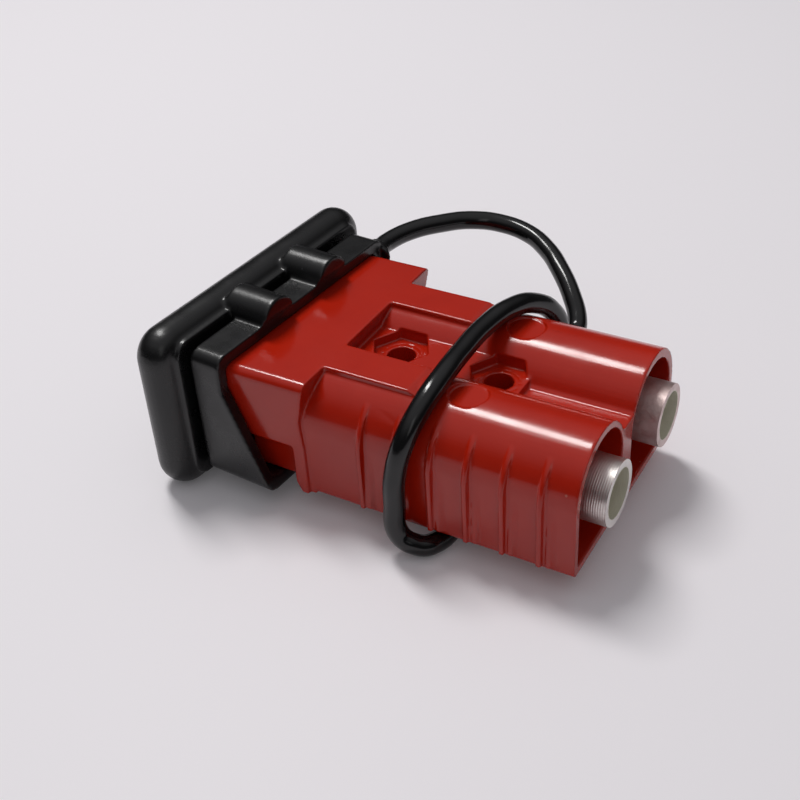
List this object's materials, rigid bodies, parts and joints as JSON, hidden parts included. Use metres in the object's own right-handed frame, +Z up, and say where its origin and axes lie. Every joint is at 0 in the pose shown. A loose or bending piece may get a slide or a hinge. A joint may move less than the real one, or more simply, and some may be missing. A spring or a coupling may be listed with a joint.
{
  "type": "genderless power connector",
  "caption": "Genderless high-current connector: moulded housing, crimp contacts with springs, and a plugged-in rubber dust cover tethered to a loop round the housing.",
  "frame": {"origin": "on the plane it rests on, midway between the poles and midway along the connector with its cover", "axes": "+X across the poles, +Y from the cable end to the mating end, +Z up"},
  "size_m": [0.1015, 0.1048, 0.0418],
  "materials": {
    "housing_plastic": "glossy moulded polycarbonate",
    "silver_plate": "satin silver plate on copper",
    "spring_steel": "rolled stainless strip",
    "black_rubber": "smooth moulded rubber with a soft sheen"
  },
  "bodies": {
    "root": {"housing": "housing_plastic", "contact_left": "silver_plate", "contact_right": "silver_plate", "spring_left": "spring_steel", "spring_right": "spring_steel", "dust_cover": "black_rubber", "tether_loop": "black_rubber", "tether_cord": "black_rubber"}
  },
  "joints": []
}
